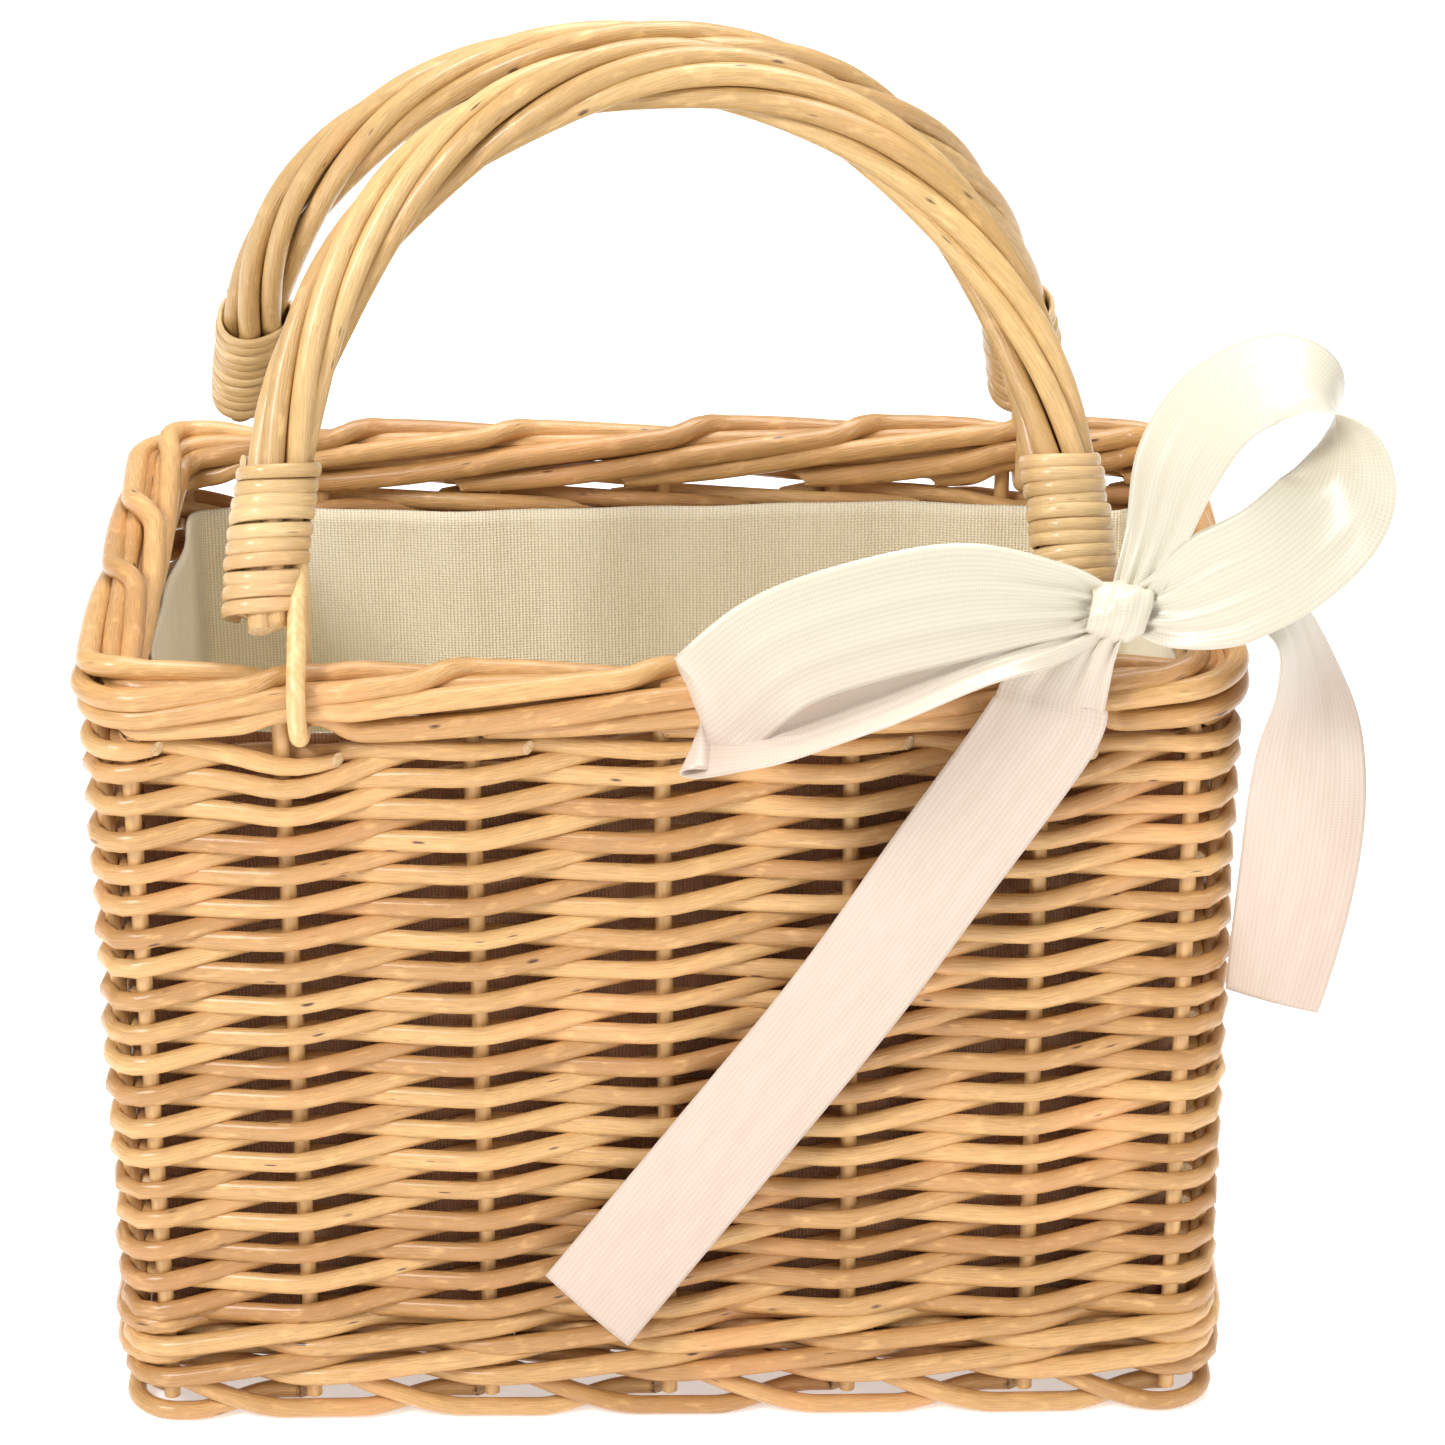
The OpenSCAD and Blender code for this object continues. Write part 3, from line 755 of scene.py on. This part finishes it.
def binding(name, body, side, turns=10):
    """Split willow wound round a leg. Each turn is a flat strip on one loop of a helix, tilted and
    tightened a little by chance, and the turns' middles follow the leg as it curves in."""
    middle, reach = REACH[body]
    rise = HANDLE_H - SPRING
    foot = BIND_LOW - (LEFT_LEG_LONGER[body] if side < 0 else 0.0)
    step = (BIND_HIGH - foot) / turns
    angle = np.linspace(0, 2 * np.pi + 0.3, 64)[None] + rng.uniform(-0.5, 0.5, (turns, 1)) + 2.2
    up = np.arange(turns)[:, None] + 0.5 + (angle - angle.mean(axis=1, keepdims=True)) / (2 * np.pi)
    z = foot + step * (up - 0.25 + rng.uniform(-0.07, 0.07, (turns, 1)))
    z = z + rng.uniform(0.1, 0.55, (turns, 1)) * MM * np.cos(angle + rng.uniform(0, 6.3, (turns, 1)))
    drift = reach * (1 - np.sqrt(1 - (np.clip(z - SPRING, 0, None) / rise) ** 2))
    away = np.stack([np.cos(angle), np.sin(angle), np.zeros_like(angle)], -1)
    radius = 8.0 * MM + rng.uniform(-0.25, 0.4, (turns, 1)) * MM + 0.3 * MM * np.cos(3 * angle)
    centre = np.stack([middle + side * (reach - drift + splay(z)), np.zeros_like(z), z], -1)
    path = centre + away * radius[..., None]
    thick = rng.uniform(1.50, 1.78, (turns, 1)) * MM * np.ones_like(angle)
    made = rods(name, stand(path, body), thick, stand(path + away, body) - stand(path, body),
                rng.uniform(0, 1, turns), [SPLIT_WILLOW, end_grain], sides=10, flat=0.46)
    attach(made, body)
    return made


for body, label in (("front_handle", "front"), ("back_handle", "back")):
    for side, word in ((-1, "left"), (1, "right")):
        made = binding(f"{label}_{word}_winding", body, side)
        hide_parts(f"{label}_{word}_binding")

# %% [markdown]
# ## The liner
# A sewn cotton box hangs inside the walls. It is one surface: down the wall from the hem, round a
# soft corner and in across the floor. Cloth that hangs in a box never lies flat on its walls, so it
# is pulled in a little by slow waves, and most of all near the corners, where folds run down.

# %% Liner
liner_low, liner_high = (np.array(v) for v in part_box("liner"))
LINER_HALF_W, LINER_HALF_D = liner_high[0], liner_high[1]
LINER_TOP, LINER_FLOOR = liner_high[2], liner_low[2] + 0.8 * MM
CLOTH_T = 0.7 * MM


def liner_points(around, down):
    """Rounded rectangles stacked down the wall and then shrunk across the floor.
    around is 0 to 1 round the plan; down is 0 at the hem, 1 at the foot of the wall, 2 at the middle
    of the floor. Folds push inwards by sines that are strongest near the corners and the hem."""
    wall = np.clip(down, 0, 1)
    floor_share = smooth(down - 1) * 0.4 + np.clip(down - 1, 0, 1) * 0.6
    z = LINER_TOP + (LINER_FLOOR - LINER_TOP) * wall
    shrink = floor_share * (LINER_HALF_D - 0.4 * MM)
    half_w, half_d = LINER_HALF_W - shrink, LINER_HALF_D - shrink
    radius = np.minimum(6 * MM, half_d * 0.9)
    quarter = (half_w - radius) + (half_d - radius) + np.pi * radius / 2
    place, normal, _ = around_plan(around * 4 * quarter, half_w, half_d, radius)
    near_corner = np.exp(-((np.abs(np.abs(place[..., 0]) - half_w) + np.abs(
        np.abs(place[..., 1]) - half_d)) / (22 * MM)) ** 2)
    wave = (np.sin(around * 2 * np.pi * 9 + 1.3 * np.sin(3 * wall)) + np.sin(
        around * 2 * np.pi * 23 + 2.0 * wall + 1.0) * 0.5 + 1.5) / 3.0
    fold = (0.6 * MM + 2.2 * MM * wave + 3.5 * MM * near_corner * wave) * (1 - 0.55 * wall)
    fold = fold * (1 - np.clip(down - 1, 0, 1))
    place = place - normal * fold[..., None]
    rise = 0.7 * MM * (np.sin(around * 2 * np.pi * 5) - 1.6) * (1 - wall)
    return np.concatenate([place, (z + rise)[..., None]], -1)


def sheet_mesh(name, points, uv, material, closed=False):
    """A grid of points as one smooth sheet, with a UV map in metres. closed joins the last column
    to the first."""
    rows, cols = points.shape[:2]
    index = np.arange(rows * cols).reshape(rows, cols)
    quads = np.stack([index[:-1, :-1], index[:-1, 1:], index[1:, 1:], index[1:, :-1]], -1)
    mesh = bpy.data.meshes.new(name)
    mesh.from_pydata(points.reshape(-1, 3), [], quads.reshape(-1, 4).tolist())
    corner = uv.reshape(-1, 2)[quads.reshape(-1)]
    mesh.uv_layers.new(name="UVMap").data.foreach_set("uv", corner.ravel())
    mesh.polygons.foreach_set("use_smooth", np.ones(len(mesh.polygons), bool))
    mesh.materials.append(material)
    mesh.update()
    piece = bpy.data.objects.new(name, mesh)
    bpy.context.scene.collection.objects.link(piece)
    if closed:
        weld = piece.modifiers.new("weld", "WELD")
        weld.merge_threshold = 0.02 * MM
    return piece


around, down = np.meshgrid(np.linspace(0, 1, 361), np.concatenate(
    [np.linspace(0, 1, 48), np.linspace(1, 2, 26)[1:]]))
points = liner_points(around, down)
liner_uv = np.stack([around * PLAN_LENGTH, down * (LINER_TOP - LINER_FLOOR)], -1)
# The sheet carries the painted shade material, meant for the side facing the wall; the solidify shell and
# rim carry the plain cotton.
liner = sheet_mesh("cotton_liner", points[::-1], liner_uv[::-1], COTTON_PAINTED_SHADE, closed=True)
liner.data.materials.append(COTTON)
thick = liner.modifiers.new("thickness", "SOLIDIFY")
thick.thickness = CLOTH_T
thick.offset = 0
thick.material_offset = 1
thick.material_offset_rim = 1
inside = np.array([2 * LINER_HALF_W, 2 * LINER_HALF_D])
liner_area = float(inside.prod() + 2 * inside.sum() * (LINER_TOP - LINER_FLOOR))
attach(liner, "basket")
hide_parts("liner")

# %% [markdown]
# ## The ribbon
# One satin ribbon, 25 mm wide, is tied at the foot of the front handle's right binding. A ribbon
# keeps its width, so each stretch is a middle line with a direction across it: a few stations are
# listed, a smooth curve is drawn through them, and the cloth is ruled between its two edges.
# Near the knot the cloth is gathered, so its width shrinks and small pleats run along it.

# %% Ribbon helper
RIBBON_W = 25 * MM


def smooth_rows(keys, samples):
    """A cubic curve through the rows of keys: Hermite pieces whose slopes are half the difference
    of the neighbouring rows (Catmull-Rom), read at evenly spaced places."""
    keys = np.asarray(keys, float)
    place = np.linspace(0, len(keys) - 1, samples)
    i = np.minimum(place.astype(int), len(keys) - 2)
    f = (place - i)[:, None]
    padded_keys = np.concatenate([2 * keys[:1] - keys[1:2], keys, 2 * keys[-1:] - keys[-2:-1]])
    slope = (padded_keys[2:] - padded_keys[:-2]) / 2
    h00, h10 = 2 * f**3 - 3 * f**2 + 1, f**3 - 2 * f**2 + f
    h01, h11 = -2 * f**3 + 3 * f**2, f**3 - f**2
    return h00 * keys[i] + h10 * slope[i] + h01 * keys[i + 1] + h11 * slope[i + 1]


def ribbon(name, stations_mm, samples=160, curl=0.8, pleats=(0.0, 0.0), slant=(0.0, 0.0)):
    """A ribbon through stations (x, y, z, ax, ay, az, width share). a is the direction across it.
    The cloth bows by curl mm across its width. pleats are the depths in mm of the gathers at the
    start and the end, and slant moves one edge along the ribbon at the two ends, in mm."""
    rows = smooth_rows(stations_mm, samples)
    centre, across_dir = rows[:, :3] * MM, unit(rows[:, 3:6])
    width = np.clip(rows[:, 6], 0.05, 1.0) * RIBBON_W
    along = unit(np.gradient(centre, axis=0))
    across_dir = unit(across_dir - along * (across_dir * along).sum(1, keepdims=True))
    face = np.cross(along, across_dir)
    w = np.linspace(-0.5, 0.5, 29)
    share = np.linspace(0, 1, samples)
    bow = curl * MM * (1 - (2 * w) ** 2)
    near = (np.exp(-share / 0.16) * pleats[0] + np.exp(-(1 - share) / 0.16) * pleats[1]) * MM
    ripple = near[:, None] * (np.cos(w * 2 * np.pi * 3.5 + 0.6) + 0.3 * np.sin(w * 40))
    shift = (np.exp(-share / 0.04) * slant[0] + np.exp(-(1 - share) / 0.04) * slant[1]) * MM
    points = (centre[:, None] + across_dir[:, None] * (w * width[:, None])[..., None]
              + face[:, None] * (bow + ripple)[..., None]
              + along[:, None] * (shift[:, None] * w * 2)[..., None])
    length = np.concatenate([[0], np.cumsum(np.linalg.norm(np.diff(centre, axis=0), axis=1))])
    uv = np.stack(np.broadcast_arrays(w * RIBBON_W, length[:, None]), -1)
    piece = sheet_mesh(name, points, uv, SATIN)
    thick = piece.modifiers.new("thickness", "SOLIDIFY")
    thick.thickness = 0.35 * MM
    thick.offset = 0
    print(f"{name}: {length[-1] * 1000:.0f} mm of ribbon")
    return piece


# %% Bow loops
left_loop = ribbon("left_bow_loop", [
    (92, -74, 201.5, 0.0, 0.3, 1.0, 0.35),
    (82, -76, 204, 0.1, 0.35, 0.95, 0.62),
    (63, -80, 206, 0.1, 0.42, 0.90, 0.95),
    (42, -84, 203.5, 0.0, 0.45, 0.90, 1.0),
    (24, -87, 198, -0.15, 0.42, 0.90, 1.0),
    (11, -88, 187, -0.35, 0.30, 0.88, 1.0),
    (8.5, -84, 181, -0.25, 0.70, 0.65, 1.0),
    (24, -90, 181, 0.05, 0.98, 0.05, 1.0),
    (44, -88, 186.5, 0.05, 0.98, 0.0, 0.92),
    (66, -82, 193.5, 0.0, 0.95, 0.15, 0.7),
    (82, -77, 197.5, 0.0, 0.6, 0.6, 0.5),
    (92, -74, 199.5, 0.0, 0.4, 0.8, 0.32)],
    samples=240, curl=0.5, pleats=(0.9, 0.9))
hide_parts("ribbon_left_loop")
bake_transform(left_loop)

right_loop = ribbon("right_bow_loop", [
    (97, -73, 202, -0.3, 0.5, 0.8, 0.35),
    (101.5, -70, 214, -0.62, 0.75, 0.2, 0.6),
    (106, -67, 230, -0.60, 0.78, 0.10, 0.9),
    (114, -65, 242, -0.40, 0.88, 0.25, 1.0),
    (125, -65, 248, -0.10, 0.92, 0.38, 1.0),
    (134, -68, 246, -0.08, 0.92, 0.38, 1.0),
    (139, -73, 237, -0.40, 0.88, 0.22, 1.0),
    (137, -78, 226, -0.55, 0.62, 0.55, 1.0),
    (127, -81, 216, -0.50, 0.36, 0.80, 1.0),
    (115, -80, 208.5, -0.38, 0.36, 0.86, 1.0),
    (105, -77, 203, -0.25, 0.33, 0.90, 0.72),
    (97, -74, 201, 0.0, 0.35, 0.95, 0.35)],
    samples=240, curl=0.5, pleats=(0.9, 0.9))
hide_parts("ribbon_right_loop")
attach(right_loop, "front_handle")

# %% Bow tails
left_tail = ribbon("left_bow_tail", [
    (92, -75, 199, 1.0, 0.0, 0.3, 0.34),
    (86.5, -77, 193, 0.97, 0.0, -0.2, 0.64),
    (81.5, -78, 184, 0.96, 0.0, -0.28, 0.9),
    (78, -79, 175, 0.93, 0.0, -0.38, 1.0),
    (59, -79, 145, 0.85, 0.0, -0.54, 1.0),
    (38, -77.5, 111, 0.85, 0.04, -0.54, 1.0),
    (10, -76, 71, 0.84, 0.0, -0.54, 1.0),
    (-18, -75, 32, 0.84, -0.05, -0.54, 1.0)],
    samples=180, curl=0.6, pleats=(1.1, 0.0), slant=(0.0, 2.0))
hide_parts("ribbon_left_tail")
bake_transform(left_tail)

right_tail = ribbon("right_bow_tail", [
    (97, -72, 199, 0.3, 0.6, 0.6, 0.32),
    (110, -70, 202, 0.1, 0.8, 0.6, 0.7),
    (122, -69, 202.5, 0.1, 0.95, 0.3, 0.9),
    (130, -69.5, 196, 0.3, 0.95, 0.0, 1.0),
    (134, -71, 184, 0.60, 0.80, -0.1, 1.0),
    (135.5, -73, 167, 0.95, 0.3, -0.1, 1.0),
    (134.5, -74, 142, 0.95, -0.3, 0.0, 1.0),
    (130, -75, 109, 0.66, -0.72, 0.1, 1.0)],
    samples=160, curl=0.9, pleats=(1.0, 0.0), slant=(0.0, -3.0))
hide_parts("ribbon_right_tail")
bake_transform(right_tail)

# %% Knot
def knot_points(turn, along):
    """A sleeve of ribbon pulled tight: a barrel whose radius falls towards its ends, with slanting
    pleats. turn is 0 to 1 round it and along is -1 to 1 from left to right."""
    a = 2 * np.pi * turn
    radius = 5.4 * MM * (1 - 0.30 * along**2) + 0.45 * MM * np.sin(3 * a + 2.2 * along)
    radius = radius + 0.18 * MM * np.sin(11 * along + 2 * a)
    x = 6.2 * MM * along + 1.2 * MM * np.sin(a)
    return np.stack([x, radius * np.cos(a), radius * np.sin(a) * 1.15], -1)


turn, along = np.meshgrid(np.linspace(0, 1, 73), np.linspace(-1, 1, 25))
knot_place = np.array([94, -74, 200.5]) * MM
knot_uv = np.stack([along * 6.2 * MM, turn * 36 * MM], -1)
knot = sheet_mesh("bow_knot", knot_points(turn, along) + knot_place, knot_uv, SATIN, closed=True)
thick = knot.modifiers.new("thickness", "SOLIDIFY")
thick.thickness = 0.5 * MM
thick.offset = 0
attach(knot, "front_handle")
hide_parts("ribbon_knot")
